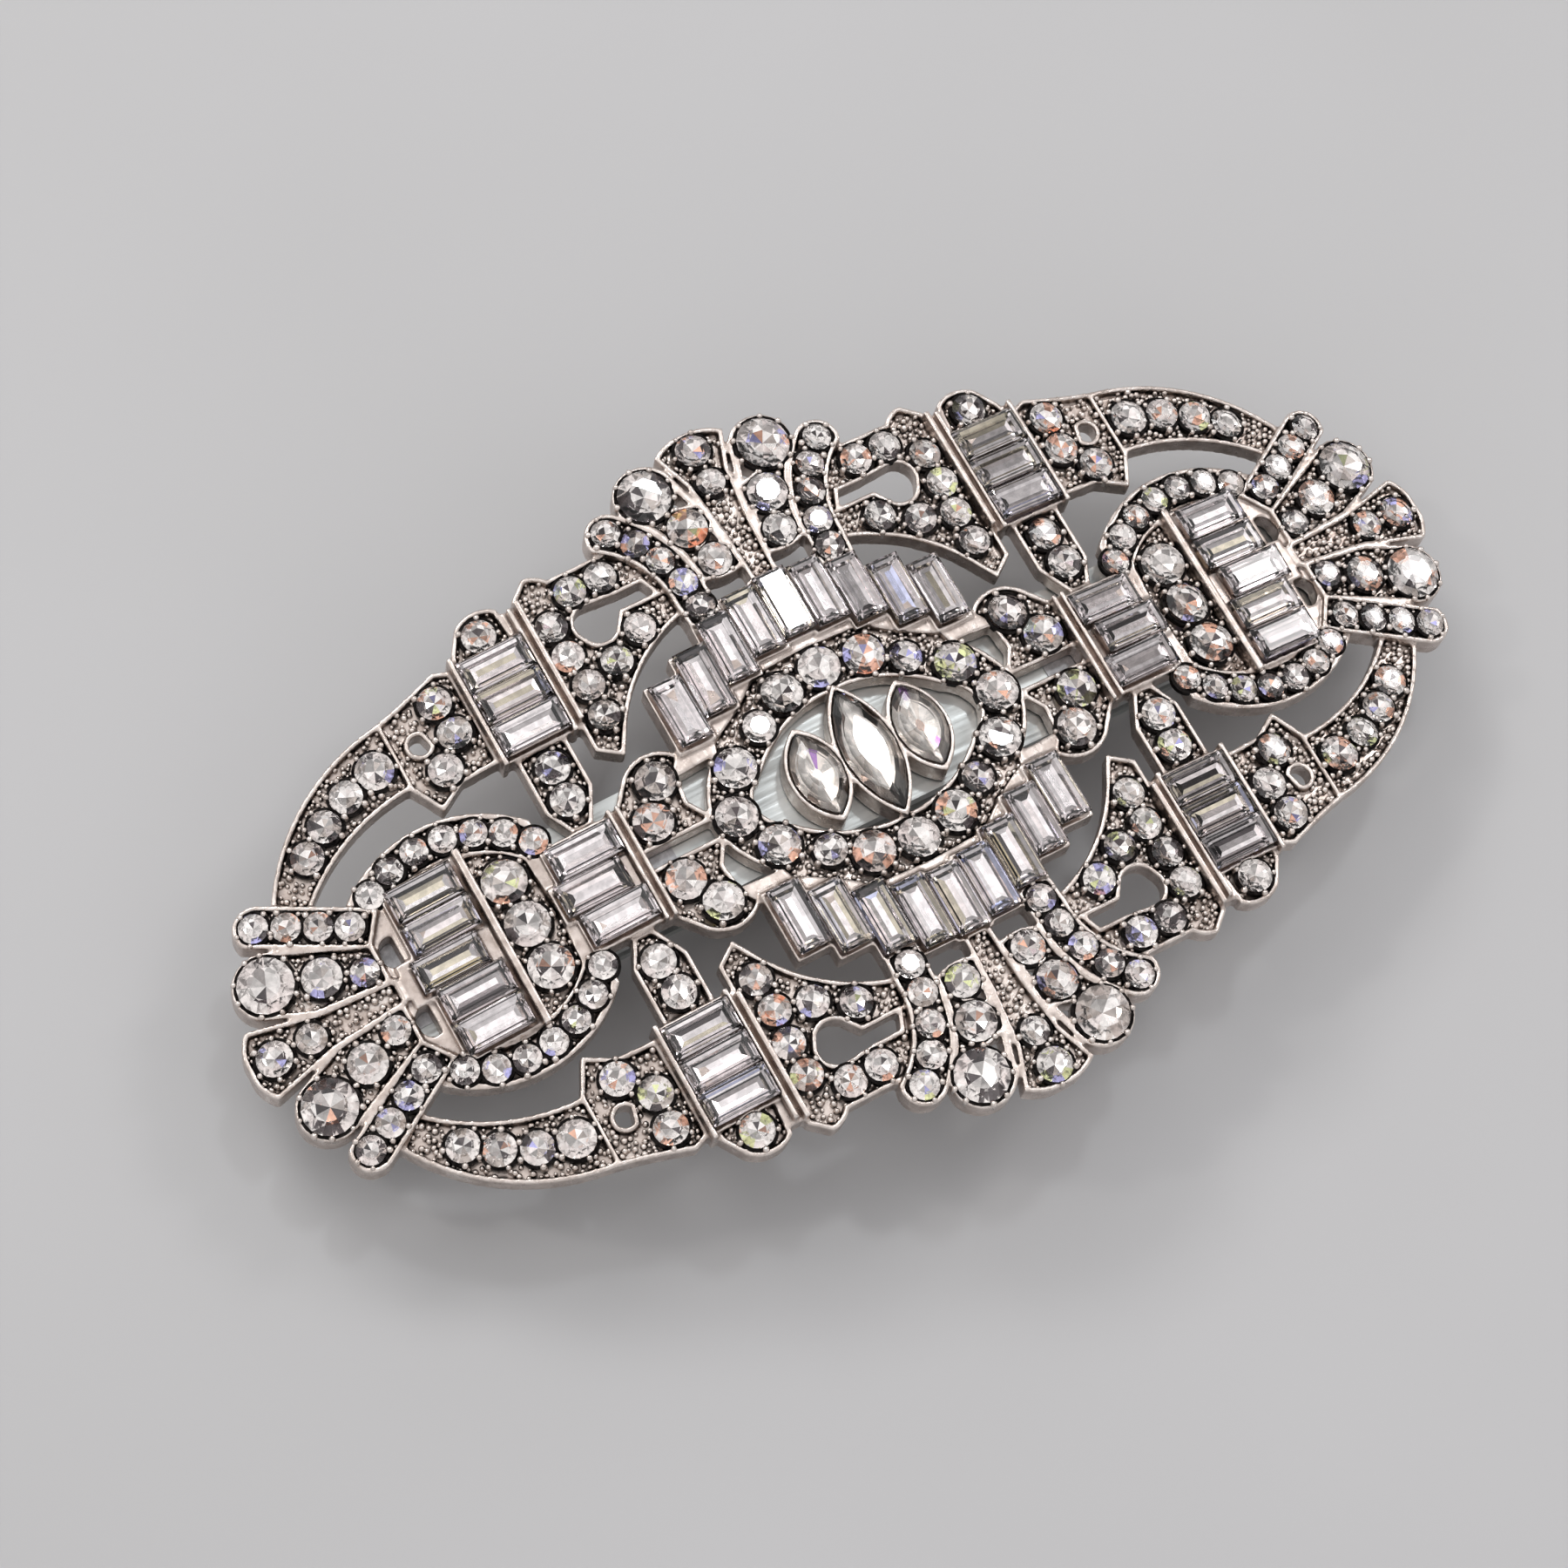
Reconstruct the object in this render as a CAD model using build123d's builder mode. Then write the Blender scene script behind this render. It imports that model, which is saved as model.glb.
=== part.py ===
"""Rhinestone hair clip: a domed openwork plate set with stones, on a French barrette clip."""

from math import asin, degrees, sqrt
import os

from build123d import *

# Driving dimensions, in millimetres. The origin is under the middle of the clip, at its lowest face.
DOME_RADIUS = 248.0  # the plate is bent round this radius, about an axis along Y
DOME_TOP = 13.0  # height of the plate's face at the middle
PLATE_THICKNESS = 1.8
POCKET_DEPTH = 0.7  # the sunk ground between the raised rims
RAISED_ROOT = 1.2  # raised parts start this deep inside the plate
RIM_WIDTH = 0.36
PLATE_HALF_LENGTH = 52.0
PLATE_HALF_WIDTH = 30.0
FAN_LIFT = 0.35  # fans stand above the ground level
SETTING_LIFT = 0.6  # settings of the pointed stones
BLOCK_LIFT = 0.25  # boxes that hold the baguettes
BAGUETTE_LIFT = 0.85  # girdles of the baguettes, which stand proud of their boxes
BAR_LIFT = 0.95  # ridges beside the boxes

BAGUETTE_LENGTH = 5.3
BAGUETTE_WIDTH = 2.62
BAGUETTE_PITCH = 2.72
KEEL_DEPTH = 0.75  # a baguette's back below its girdle
NAVETTE_DEPTH = 0.9  # a navette's back below its girdle
STONE_PLAY = 0.03  # room round a stone in its seat
CUT_ABOVE = 4.0  # pockets are cut from this far above the dome
EYE_RIM = 0.35  # metal left round a pierced hole
SETTING_WALL = 0.35  # metal round a pointed stone

CLIP_Y = 1.0  # the clip lies this far off the long centre line
STRIP_LENGTH = 82.0
STRIP_WIDTH = 10.4
STRIP_THICKNESS = 0.8
STRIP_GAP = 0.1  # solder between plate and strip
ARM_WIDTH = 7.0
ARM_THICKNESS = 1.0
ARM_CRANK = 1.6  # the latched end of the arm stands this much higher
HINGE_X = -38.5
HINGE_Z = 2.4
PIN_RADIUS = 0.8
PIN_PLAY = 0.06
KNUCKLE_RADIUS = 1.5
EAR_THICKNESS = 0.8
EAR_PLAY = 0.25
CATCH_X = 38.2
CATCH_WIDTH = 2.6
LEG_THICKNESS = 0.5
LEG_OFFSET = 1.9  # middle of each catch leg from the clip's centre line
BARB_REACH = 1.0
BOW_WIDTH = 6.0
BOW_THICKNESS = 0.4
BOW_TRAVEL = 1.2
BOW_SAG = 0.6
RIVET_X = 32.0
RIVET_RADIUS = 0.8
RIVET_HEAD_RADIUS = 1.7
RIVET_HEAD_THICKNESS = 0.5

os.makedirs("parts", exist_ok=True)


def dome_height(x, lift=0.0):
    """Height of the domed face above the rest plane, or of a parallel face lifted off it."""
    radius = DOME_RADIUS + lift
    return DOME_TOP - DOME_RADIUS + sqrt(radius**2 - x**2)


def seat(x, y, lift=0.0, turn=0.0):
    """A place on the domed face, local Z along its normal."""
    lean = degrees(asin(x / DOME_RADIUS))
    return Location((x, y, dome_height(x, lift)), (0, lean, 0)) * Location((0, 0, 0), (0, 0, turn))


def four_ways(points):
    """The points and their mirror images about both centre lines, each place once."""
    places = []
    for x, y in points:
        for mirrored in ((x, y), (-x, y), (x, -y), (-x, -y)):
            if mirrored not in places:
                places.append(mirrored)
    return places


def save(builder, label):
    """Name a finished sub-part and write it."""
    builder.part.label = label
    export_step(builder.part, f"parts/{label}.step")


def area(*stops, both_x=True, both_y=True):
    """A closed area. A stop is the end of a straight run, or the middle and end of an arc."""
    with BuildSketch(mode=Mode.PRIVATE) as region:
        with BuildLine():
            here = stops[0]
            for stop in (*stops[1:], stops[0]):
                if isinstance(stop[0], tuple):
                    ThreePointArc(here, stop[0], stop[1])
                    here = stop[1]
                elif stop != here:
                    Line(here, stop)
                    here = stop
        make_face()
        if both_x:
            mirror(about=Plane.YZ)
        if both_y:
            mirror(about=Plane.XZ)
    return region.sketch


def slab(x_low, x_high, y_low, y_high, both_x=True, both_y=True):
    """A rectangular area between two pairs of lines."""
    corners = ((x_low, y_low), (x_high, y_low), (x_high, y_high), (x_low, y_high))
    return area(*corners, both_x=both_x, both_y=both_y)


def joined(areas):
    """One area from several."""
    with BuildSketch(mode=Mode.PRIVATE) as region:
        for each in areas:
            add(each)
    return region.sketch


def quarter_of(region):
    """The part of an area where X and Y are both positive."""
    with BuildSketch(mode=Mode.PRIVATE) as corner:
        add(region)
        with Locations((PLATE_HALF_LENGTH / 2, PLATE_HALF_WIDTH / 2)):
            Rectangle(PLATE_HALF_LENGTH, PLATE_HALF_WIDTH, mode=Mode.INTERSECT)
    return corner.sketch


def inset(region, amount=RIM_WIDTH):
    """The area left inside a rim of even width."""
    with BuildSketch(mode=Mode.PRIVATE) as inner:
        for face in region.faces():
            with BuildSketch(mode=Mode.PRIVATE) as piece:
                add(face)
                offset(amount=-amount, kind=Kind.INTERSECTION, mode=Mode.REPLACE)
            add(piece.sketch)
    return inner.sketch


def without(region, *others):
    """The area with others taken away."""
    with BuildSketch(mode=Mode.PRIVATE) as left:
        add(region)
        for other in others:
            add(other, mode=Mode.SUBTRACT)
    return left.sketch


def dome_layer(low, high):
    """The solid between two faces parallel to the dome."""
    centre = DOME_TOP - DOME_RADIUS
    reach = degrees(asin(PLATE_HALF_LENGTH / DOME_RADIUS))
    with BuildPart(mode=Mode.PRIVATE) as layer:
        with BuildSketch(Plane.XZ):
            with BuildLine():
                outer = CenterArc((0, centre), DOME_RADIUS + high, 90 - reach, 2 * reach)
                inner = CenterArc((0, centre), DOME_RADIUS + low, 90 - reach, 2 * reach)
                Line(outer @ 0, inner @ 0)
                Line(outer @ 1, inner @ 1)
            make_face()
        extrude(amount=PLATE_HALF_WIDTH, both=True)
    return layer.part


def on_dome(region, low, high):
    """An area raised between two faces parallel to the dome."""
    with BuildPart(mode=Mode.PRIVATE) as raised:
        with BuildSketch():
            add(region)
        extrude(amount=DOME_TOP + 10)
        add(dome_layer(low, high), mode=Mode.INTERSECT)
    return raised.part


# ---- Stones ----


def ground_lift(girdle_lift):
    """Lift of the level a round stone is set into: a fan's for the higher stones, else the dome's."""
    return FAN_LIFT if girdle_lift >= FAN_LIFT else 0


def round_stone(radius, depth):
    """A chaton: flat table, sloped crown, thin girdle and a cone cut short at its foil."""
    with BuildPart(mode=Mode.PRIVATE) as stone:
        with BuildSketch(Plane.XZ):
            with BuildLine():
                Polyline(
                    (0, -depth),
                    (0.3 * radius, -depth),
                    (radius, -0.04 * radius),
                    (radius, 0.04 * radius),
                    (0.6 * radius, 0.34 * radius),
                    (0, 0.34 * radius),
                    close=True,
                )
            make_face()
        revolve(axis=Axis.Z)
    return stone.part


def cups(level):
    """The round areas that the stones set into one level drop into, in one quarter."""
    with BuildSketch(mode=Mode.PRIVATE) as circles:
        for radius, lift, places in ROUND_GROUPS.values():
            if ground_lift(lift) == level:
                with Locations(*places):
                    Circle(radius + STONE_PLAY)
    return circles.sketch


def step_stone(length, width):
    """A baguette, its length along local X: a table with one sloped step all round, over a keel."""
    with BuildPart(mode=Mode.PRIVATE) as stone:
        with BuildSketch():
            Rectangle(length, width)
        extrude(amount=0.15)
        with BuildSketch(Plane.XY.offset(0.15)):
            Rectangle(length, width)
        extrude(amount=0.35, taper=50)
        with BuildSketch():
            Rectangle(length, width)
        extrude(amount=-KEEL_DEPTH, taper=40)
    return stone.part


def step_seats(places, turn):
    """The rectangular areas that baguettes drop into, each running into its neighbour's."""
    length = BAGUETTE_LENGTH + 2 * STONE_PLAY
    width = BAGUETTE_PITCH + 2 * STONE_PLAY
    with BuildSketch(mode=Mode.PRIVATE) as boxes:
        with Locations(*places):
            Rectangle(length, width, rotation=turn)
    return boxes.sketch


def pointed_area(half_width, half_length, grow=0.0):
    """The outline of a navette, its points along Y."""
    tip = half_length + 1.6 * grow
    side = half_width + grow
    return area(
        (0, -tip),
        ((side, 0), (0, tip)),
        ((-side, 0), (0, -tip)),
        both_x=False,
        both_y=False,
    )


def pointed_stone(half_width, half_length):
    """A navette: crown and back drawn in from a pointed girdle."""
    with BuildPart(mode=Mode.PRIVATE) as stone:
        with BuildSketch():
            add(pointed_area(half_width, half_length))
        extrude(amount=0.2)
        with BuildSketch(Plane.XY.offset(0.2)):
            add(pointed_area(half_width, half_length))
        with BuildSketch(Plane.XY.offset(0.95)):
            add(pointed_area(0.55 * half_width, 0.62 * half_length))
        loft()
        with BuildSketch():
            add(pointed_area(half_width, half_length))
        with BuildSketch(Plane.XY.offset(-NAVETTE_DEPTH)):
            add(pointed_area(0.4 * half_width, 0.6 * half_length))
        loft()
    return stone.part


# Each group: radius, lift of the girdle above the dome, and places in one quarter.
ROUND_GROUPS = {
    "centre_ring_stones": (1.6, 0.1, [(0, 7.4), (3.45, 6.85), (9.3, 3.3), (11.0, 0)]),
    "centre_corner_stones": (1.25, 0.1, [(6.2, 5.3)]),
    "leaf_stones": (1.52, 0.1, [(14.9, 5.1), (16.5, 2.45)]),
    "shield_stones": (
        1.22,
        0.05,
        [
            (10.9, 20.95),
            (13.4, 20.95),
            (15.9, 19.1),
            (15.9, 16.5),
            (15.6, 13.9),
            (12.9, 14.6),
            (10.2, 16.1),
            (15.7, 11.3),
        ],
    ),
    "side_fan_big_stones": (2.05, 0.4, [(5.05, 25.0)]),
    "side_fan_middle_stones": (1.55, 0.35, [(3.4, 21.35)]),
    "side_fan_inner_stones": (1.3, 0.35, [(2.75, 18.3)]),
    "side_fan_strip_stones": (
        1.11,
        0.35,
        [(9.0, 23.7), (7.45, 22.0), (6.4, 20.0), (5.72, 17.72), (5.5, 15.5)],
    ),
    "side_fan_wedge_stones": (1.35, 0.35, [(0, 26.7)]),
    "side_fan_tail_stones": (1.1, 0.35, [(0, 23.9)]),
    "cap_stones": (1.3, 0.05, [(20.9, 20.95)]),
    "link_stones": (1.3, 0.05, [(20.9, 9.5), (21.1, 6.85)]),
    "cluster_stones": (1.3, 0.05, [(26.1, 17.9), (25.85, 15.2), (27.7, 13.0)]),
    "band_big_stones": (1.45, 0.05, [(32.2, 15.4)]),
    "band_stones": (1.26, 0.05, [(34.85, 14.65), (37.2, 13.45), (39.3, 11.95)]),
    "medallion_ring_stones": (
        1.06,
        0.1,
        [(24.7, 5.25), (26.3, 6.8), (28.2, 7.85), (30.3, 8.5), (32.5, 8.65), (34.7, 8.25), (36.7, 7.3)],
    ),
    "column_stones": (1.7, 0.15, [(27.95, 0), (27.95, 3.55)]),
    "end_fan_big_stones": (2.1, 0.4, [(46.1, 5.0)]),
    "end_fan_middle_stones": (1.5, 0.35, [(42.4, 3.55)]),
    "end_fan_inner_stones": (1.1, 0.35, [(39.6, 2.4)]),
    "end_fan_strip_stones": (
        1.1,
        0.35,
        [(45.0, 9.15), (42.95, 8.1), (40.95, 7.0), (39.0, 5.9)],
    ),
    "end_fan_wedge_stones": (1.35, 0.35, [(47.9, 0)]),
    "end_fan_tail_stones": (1.15, 0.35, [(45.0, 0)]),
}

# Stepped arch: each baguette beyond the middle one lies lower by these amounts.
ARCH_TOP = 12.85
ARCH_DROPS = (0, 0.3, 1.25, 2.75, 4.05)
ARCH_PLACES = [(n * BAGUETTE_PITCH, ARCH_TOP - drop) for n, drop in enumerate(ARCH_DROPS)]
# Each group: places in one quarter, and the turn of the stone's length from the long axis.
BAGUETTE_GROUPS = {
    "arch_baguettes": (ARCH_PLACES, 90),
    "outer_block_baguettes": ([(20.95, 15.5 + n * BAGUETTE_PITCH) for n in (-1, 0, 1)], 0),
    "inner_block_baguettes": ([(22.0, BAGUETTE_PITCH), (22.7, 0)], 0),
    "end_column_baguettes": ([(33.4, 2 * BAGUETTE_PITCH), (33.4, BAGUETTE_PITCH), (34.1, 0)], 0),
}
CENTRE_NAVETTE = (2.05, 5.1)
SIDE_NAVETTE = (1.9, 3.4)
SIDE_NAVETTE_X = 4.3


# ---- Areas of the plate, each drawn in one quarter and mirrored ----

centre_ring = area(
    (0, 9.6),
    (4.6, 9.4),
    (7.0, 7.6),
    (9.9, 6.0),
    (10.2, 4.9),
    ((11.6, 3.4), (12.7, 0.9)),
    (12.7, 0),
    (9.4, 0),
    ((8.9, 1.2), (7.6, 2.3)),
    ((4.6, 4.4), (0, 5.4)),
)
leaf = area(
    (12.3, 6.1),
    ((14.7, 7.35), (17.1, 6.2)),
    (18.7, 4.3),
    (18.7, 0.65),
    (12.2, 0.65),
    (13.5, 2.7),
    (13.3, 4.8),
)
leaf_tie = area((9.9, 6.0), (13.0, 6.5), (13.4, 4.7), (10.3, 4.9))
shield = area(
    (9.4, 22.6),
    (14.4, 22.6),
    ((15.3, 23.3), (16.1, 23.5)),
    (17.6, 22.2),
    (17.6, 9.2),
    (15.8, 7.9),
    (15.0, 9.2),
    ((11.6, 13.3), (6.2, 15.9)),
    (6.4, 18.4),
    (7.4, 20.9),
)
keyhole = area(
    (7.9, 18.1),
    (10.8, 18.1),
    (11.6, 17.0),
    ((12.9, 16.35), (14.1, 17.4)),
    ((14.3, 18.6), (13.2, 19.55)),
    (10.5, 19.3),
    (8.4, 19.3),
)
cap = area(
    (18.5, 19.4),
    (18.8, 22.3),
    ((20.4, 22.9), (22.3, 22.2)),
    (23.4, 20.5),
    (23.7, 19.4),
)
cluster = area(
    (23.9, 11.7),
    (27.0, 11.6),
    (29.2, 10.3),
    ((30.2, 12.2), (30.6, 12.9)),
    (30.6, 18.5),
    ((27.6, 19.3), (25.2, 20.1)),
    (23.9, 19.6),
)
cluster_eye = area((27.8, 15.2), ((28.7, 14.9), (29.2, 15.5)), ((29.0, 16.2), (28.1, 16.3)))
band = area(
    (30.2, 18.55),
    ((37.2, 16.2), (43.2, 10.0)),
    (41.0, 8.2),
    ((36.4, 11.5), (30.2, 12.95)),
)
link = area(
    (18.9, 11.4),
    (18.9, 7.1),
    (20.3, 4.4),
    (21.9, 4.4),
    (23.0, 6.6),
    (23.0, 11.4),
)
RING_CENTRE_X = 31.7
RING_OUTER = 10.15
RING_INNER = 7.35
ring_side = area(
    (24.2, 0),
    (24.2, 6.85),
    ((RING_CENTRE_X, RING_OUTER), (38.6, 7.45)),
    (38.6, 0),
)
ring_pocket = area(
    (23.9, 4.5),
    (24.4, 6.0),
    ((31.4, RING_OUTER - RIM_WIDTH), (38.1, 7.0)),
    (37.4, 5.4),
    ((31.4, RING_INNER), (26.0, 4.95)),
)
column_pocket = area((25.6, 0), (25.9, 4.3), ((27.7, 5.9), (29.7, 6.6)), (29.7, 0))
column_eye = area((36.75, 1.75), ((37.9, 2.1), (38.0, 3.0)), ((37.6, 3.9), (36.75, 4.0)))
end_strip = area(
    (36.6, 6.2),
    (44.0, 10.55),
    ((45.9, 10.4), (46.35, 8.3)),
    (38.4, 3.7),
)
end_petals = area(
    (38.2, 4.1),
    (45.2, 7.3),
    ((48.5, 5.4), (47.5, 2.95)),
    (43.8, 1.35),
    (38.2, 0.8),
)
end_wedge = area(
    (37.9, 0),
    (37.9, 1.05),
    (43.8, 1.5),
    (48.9, 2.75),
    ((49.75, 1.4), (49.85, 0)),
)
side_strip = area(
    (4.1, 13.9),
    (4.3, 17.5),
    ((5.2, 21.3), (7.5, 24.6)),
    ((9.8, 25.0), (10.6, 22.9)),
    ((8.0, 20.2), (7.1, 16.3)),
    (6.9, 13.9),
)
side_petals = area(
    (0.9, 17.0),
    (1.4, 22.0),
    (2.6, 26.0),
    ((5.2, 27.45), (7.3, 25.8)),
    ((7.35, 24.8), (6.9, 23.9)),
    ((5.1, 21.0), (4.4, 17.2)),
    ((2.7, 16.75), (0.9, 17.0)),
)
side_wedge = area(
    (0, 15.0),
    (1.05, 15.0),
    (1.3, 20.0),
    (1.8, 24.4),
    (2.9, 27.4),
    ((1.6, 28.1), (0, 28.3)),
)
petal_gaps = [
    area((2.35, 23.0), (3.6, 23.3), (2.75, 24.4)),
    area((1.75, 19.4), (2.9, 19.65), (1.95, 20.4)),
]
arch_box = joined(
    slab(max(x - 1.55, 0), x + 1.55, y - 2.85, y + 2.85) for x, y in ARCH_PLACES
)
arch_ledge = joined(
    slab(max(x - 1.36, 0), x + 1.36, y - 3.6, y) for x, y in ARCH_PLACES
)
outer_block = slab(18.1, 23.8, 11.2, 19.8)
inner_block = joined(
    (slab(19.2, 24.85, 0.5, 4.4), slab(19.2, 25.6, 0, 1.5))
)
end_column = joined((slab(30.5, 36.25, 0.5, 7.0), slab(30.5, 37.0, 0, 1.5)))
column_bracket = slab(36.2, 37.6, 0, 1.75)
bars = joined(
    (
        slab(17.25, 17.65, 11.6, 21.9),
        slab(18.0, 18.4, 11.0, 21.6),
        slab(23.6, 24.0, 11.0, 20.2),
        slab(18.3, 18.65, 0, 4.6),
        slab(19.0, 19.35, 0, 4.6),
        slab(29.8, 30.4, 0, 7.2),
    )
)
bar_ground = joined((slab(17.2, 18.6, 11.2, 21.8), slab(18.2, 19.4, 0, 4.6), slab(36.0, 38.6, 0, 7.0)))
with BuildSketch() as navette_settings:
    add(pointed_area(*CENTRE_NAVETTE, grow=SETTING_WALL))
    with Locations((SIDE_NAVETTE_X, 0), (-SIDE_NAVETTE_X, 0)):
        add(pointed_area(*SIDE_NAVETTE, grow=SETTING_WALL))
settings = navette_settings.sketch

ground_parts = [centre_ring, leaf, leaf_tie, shield, cap, cluster, band, link, ring_side]
fan_parts = [end_strip, end_petals, end_wedge, side_strip, side_petals, side_wedge]
blocks = joined((arch_box, outer_block, inner_block, end_column, column_bracket))

holes = joined((keyhole, cluster_eye, column_eye, *petal_gaps))
fans = without(joined(fan_parts), *petal_gaps)
ground = without(joined((*ground_parts, arch_ledge, blocks, settings, bars, bar_ground, fans)), holes)
with BuildSketch() as hole_rims:
    for face in joined((keyhole, cluster_eye, *petal_gaps)).faces():
        add(offset(face, amount=EYE_RIM, kind=Kind.INTERSECTION, mode=Mode.PRIVATE))
hole_rims = hole_rims.sketch

upper_areas = joined((arch_box, outer_block, inner_block, end_column, column_bracket, settings, bars))
ground_pockets = joined(
    [inset(each) for each in (centre_ring, leaf, shield, cap, cluster, band, link)]
    + [ring_pocket, column_pocket]
)
ground_pockets = joined((without(ground_pockets, upper_areas, fans, hole_rims), cups(0)))
fan_pockets = joined(inset(each) for each in fan_parts)
fan_pockets = joined((without(fan_pockets, upper_areas, hole_rims), cups(FAN_LIFT)))
baguette_pockets = joined(step_seats(*group) for group in BAGUETTE_GROUPS.values())
with BuildSketch(mode=Mode.PRIVATE) as navette_seats:
    add(pointed_area(*CENTRE_NAVETTE, grow=STONE_PLAY))
    with Locations((SIDE_NAVETTE_X, 0)):
        add(pointed_area(*SIDE_NAVETTE, grow=STONE_PLAY))
navette_pockets = navette_seats.sketch

# ---- The cast plate ----

with BuildPart() as plate_quarter:
    add(on_dome(quarter_of(ground), -PLATE_THICKNESS, 0))
    add(on_dome(quarter_of(without(fans, upper_areas)), -RAISED_ROOT, FAN_LIFT))
    add(on_dome(quarter_of(without(settings, bars, blocks)), -RAISED_ROOT, SETTING_LIFT))
    add(on_dome(quarter_of(without(blocks, bars)), -RAISED_ROOT, BLOCK_LIFT))
    add(on_dome(quarter_of(bars), -RAISED_ROOT, BAR_LIFT))
    add(on_dome(quarter_of(ground_pockets), -POCKET_DEPTH, CUT_ABOVE), mode=Mode.SUBTRACT)
    add(on_dome(quarter_of(fan_pockets), FAN_LIFT - POCKET_DEPTH, CUT_ABOVE), mode=Mode.SUBTRACT)
    add(on_dome(quarter_of(baguette_pockets), BAGUETTE_LIFT - KEEL_DEPTH, CUT_ABOVE), mode=Mode.SUBTRACT)
    add(on_dome(quarter_of(navette_pockets), SETTING_LIFT - NAVETTE_DEPTH, CUT_ABOVE), mode=Mode.SUBTRACT)

with BuildPart() as filigree_plate:
    add(plate_quarter.part)
    mirror(about=Plane.YZ)
    mirror(about=Plane.XZ)
save(filigree_plate, "filigree_plate")

# ---- The stones, each group in a node of its own ----

for label, (radius, lift, quarter) in ROUND_GROUPS.items():
    with BuildPart() as stones:
        with Locations(*[seat(x, y, lift) for x, y in four_ways(quarter)]):
            add(round_stone(radius, lift - ground_lift(lift) + POCKET_DEPTH))
    save(stones, label)

for label, (quarter, turn) in BAGUETTE_GROUPS.items():
    with BuildPart() as stones:
        with Locations(*[seat(x, y, BAGUETTE_LIFT, turn) for x, y in four_ways(quarter)]):
            add(step_stone(BAGUETTE_LENGTH, BAGUETTE_WIDTH))
    save(stones, label)

with BuildPart() as centre_navette:
    with Locations(seat(0, 0, SETTING_LIFT)):
        add(pointed_stone(*CENTRE_NAVETTE))
save(centre_navette, "centre_navette")

with BuildPart() as side_navettes:
    with Locations(*[seat(x, 0, SETTING_LIFT) for x in (SIDE_NAVETTE_X, -SIDE_NAVETTE_X)]):
        add(pointed_stone(*SIDE_NAVETTE))
save(side_navettes, "side_navettes")

# ---- The barrette clip behind the plate ----

STRIP_TOP_OFFSET = -PLATE_THICKNESS - STRIP_GAP
STRIP_BOTTOM_OFFSET = STRIP_TOP_OFFSET - STRIP_THICKNESS
CLIP_FRONT = CLIP_Y - STRIP_WIDTH / 2
CLIP_BACK = CLIP_Y + STRIP_WIDTH / 2
EAR_INNER = ARM_WIDTH / 2 + EAR_PLAY
EAR_OUTER = EAR_INNER + EAR_THICKNESS
CATCH_ROOT_Z = dome_height(CATCH_X, STRIP_BOTTOM_OFFSET) - 0.9
CATCH_PIVOT_Z = CATCH_ROOT_Z - LEG_THICKNESS / 2 - 0.05
ARM_END_X = STRIP_LENGTH / 2 + 1.0


def clip_slab(y_low, y_high):
    """The plane of a side profile and the depth it is extruded by, between two faces across Y."""
    return Plane.XZ.offset(-y_high), y_high - y_low


strip_blank = slab(-STRIP_LENGTH / 2, STRIP_LENGTH / 2, CLIP_FRONT, CLIP_BACK, both_x=False, both_y=False)
strip_rolls = joined(
    slab(-STRIP_LENGTH / 2 + 4, STRIP_LENGTH / 2 - 4, y, y + 0.7, both_x=False, both_y=False)
    for y in (CLIP_FRONT, CLIP_BACK - 0.7)
)
with BuildPart() as base_strip:
    add(on_dome(strip_blank, STRIP_BOTTOM_OFFSET, STRIP_TOP_OFFSET))
    add(on_dome(strip_rolls, STRIP_BOTTOM_OFFSET - 0.5, STRIP_BOTTOM_OFFSET + 0.2))
    for y_low in (CLIP_Y + EAR_INNER, CLIP_Y - EAR_OUTER):
        plane, depth = clip_slab(y_low, y_low + EAR_THICKNESS)
        with BuildSketch(plane):
            with BuildLine():
                Polyline(
                    (HINGE_X - 2.0, HINGE_Z),
                    (HINGE_X - 2.4, dome_height(HINGE_X, STRIP_BOTTOM_OFFSET) + 0.2),
                    (HINGE_X + 4.6, dome_height(HINGE_X, STRIP_BOTTOM_OFFSET) + 0.6),
                    (HINGE_X + 2.0, HINGE_Z),
                )
                ThreePointArc((HINGE_X + 2.0, HINGE_Z), (HINGE_X, HINGE_Z - 2.0), (HINGE_X - 2.0, HINGE_Z))
            make_face()
        extrude(amount=depth)
    with Locations(Location((HINGE_X, CLIP_Y, HINGE_Z), (90, 0, 0))):
        Cylinder(PIN_RADIUS, 2 * EAR_OUTER + 1, mode=Mode.SUBTRACT)
    with Locations(*[(side * RIVET_X, CLIP_Y, DOME_TOP - 5) for side in (-1, 1)]):
        Cylinder(RIVET_RADIUS, 12, mode=Mode.SUBTRACT)
save(base_strip, "base_strip")

with BuildPart() as solder_pads:
    for x in (-36.5, -23.0, -17.0, 17.0, 23.0, 36.5):
        pad = slab(x - 1.2, x + 1.2, CLIP_Y - 3.6, CLIP_Y + 3.6, both_x=False, both_y=False)
        add(on_dome(pad, STRIP_TOP_OFFSET, -PLATE_THICKNESS))
save(solder_pads, "solder_pads")

with BuildPart() as hinge_pin:
    with Locations(Location((HINGE_X, CLIP_Y, HINGE_Z), (90, 0, 0))):
        Cylinder(PIN_RADIUS, 2 * EAR_OUTER)
    for side in (-1, 1):
        with Locations(Location((HINGE_X, CLIP_Y + side * (EAR_OUTER + 0.15), HINGE_Z), (90, 0, 0))):
            Cylinder(PIN_RADIUS + 0.4, 0.3)
save(hinge_pin, "hinge_pin")

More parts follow.
